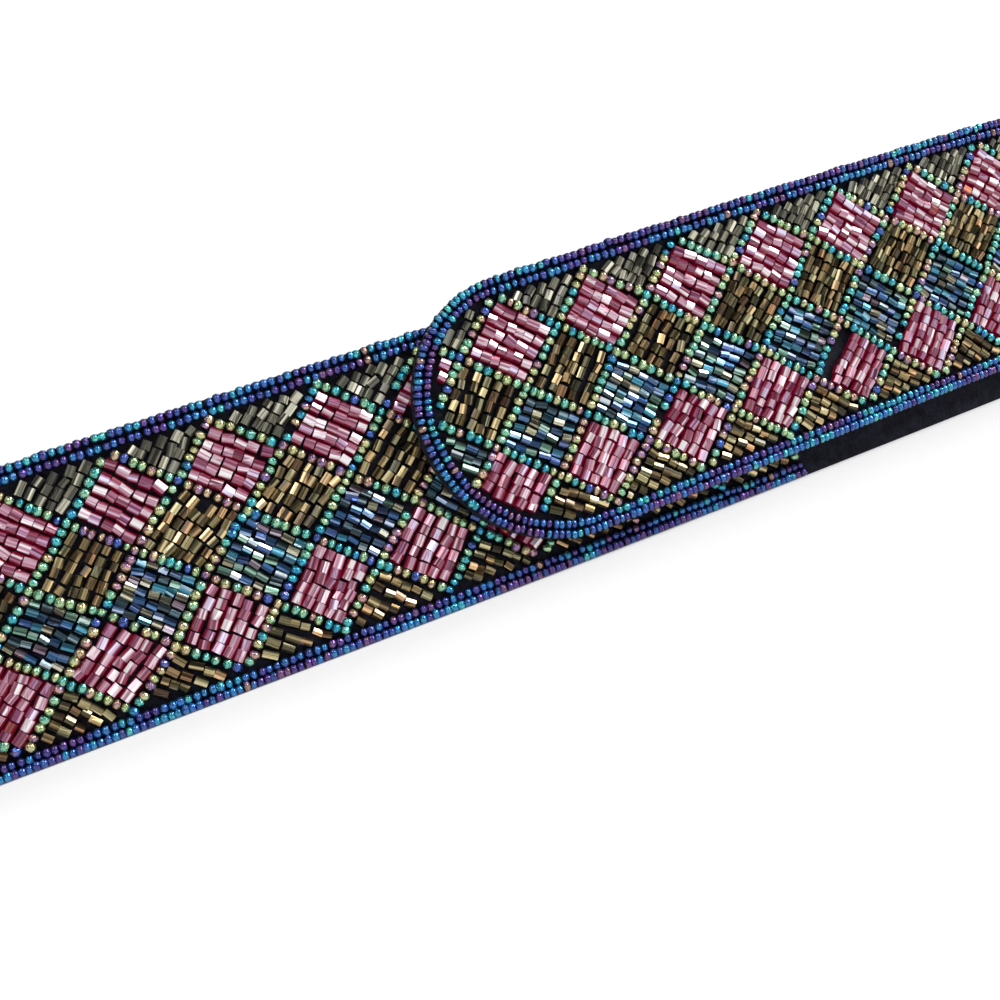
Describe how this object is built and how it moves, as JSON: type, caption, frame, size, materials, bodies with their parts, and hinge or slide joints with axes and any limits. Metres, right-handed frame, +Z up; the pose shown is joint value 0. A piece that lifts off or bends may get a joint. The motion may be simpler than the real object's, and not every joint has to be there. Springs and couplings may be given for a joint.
{
  "type": "beaded belt",
  "caption": "Wide felt belt covered with seed bead strings and bugle bead diamonds, fastened into a loop by a round-ended flap over its plain inner end.",
  "frame": {"origin": "on the floor, under the middle of the fastened belt's box", "axes": "+X along the front towards the hidden inner end, the flap's tip pointing to -X; +Y from the front, where the flap closes, to the back; +Z up, across the belt's width"},
  "size_m": [0.3706, 0.1356, 0.0646],
  "materials": {
    "black_felt": "matt black wool felt, cut edges",
    "patch_fabric": "plain black woven fastening patch",
    "blue_iris_beads": "opaque glass seed beads with a metallic blue and purple iris coating",
    "green_iris_beads": "opaque glass seed beads with a metallic green iris coating",
    "grey_bugles": "translucent grey olive glass bugle beads",
    "pink_bugles": "lustred pink glass bugle beads, deep red inside",
    "bronze_bugles": "metallic bronze glass bugle beads",
    "blue_bugles": "metallic blue iris glass bugle beads"
  },
  "bodies": {
    "root": {"felt_band": "black_felt", "closure_patch": "patch_fabric", "edge_string_outer": "blue_iris_beads", "edge_string_inner": "blue_iris_beads", "bugle_row_grey_top": "grey_bugles", "bugle_row_pink_upper": "pink_bugles", "bugle_row_bronze_middle": "bronze_bugles", "bugle_row_blue": "blue_bugles", "bugle_row_pink_lower": "pink_bugles", "bugle_row_bronze_bottom": "bronze_bugles", "zigzag_string_1": "green_iris_beads", "zigzag_string_2": "green_iris_beads", "zigzag_string_3": "green_iris_beads", "zigzag_string_4": "green_iris_beads", "zigzag_string_5": "green_iris_beads"}
  },
  "joints": []
}
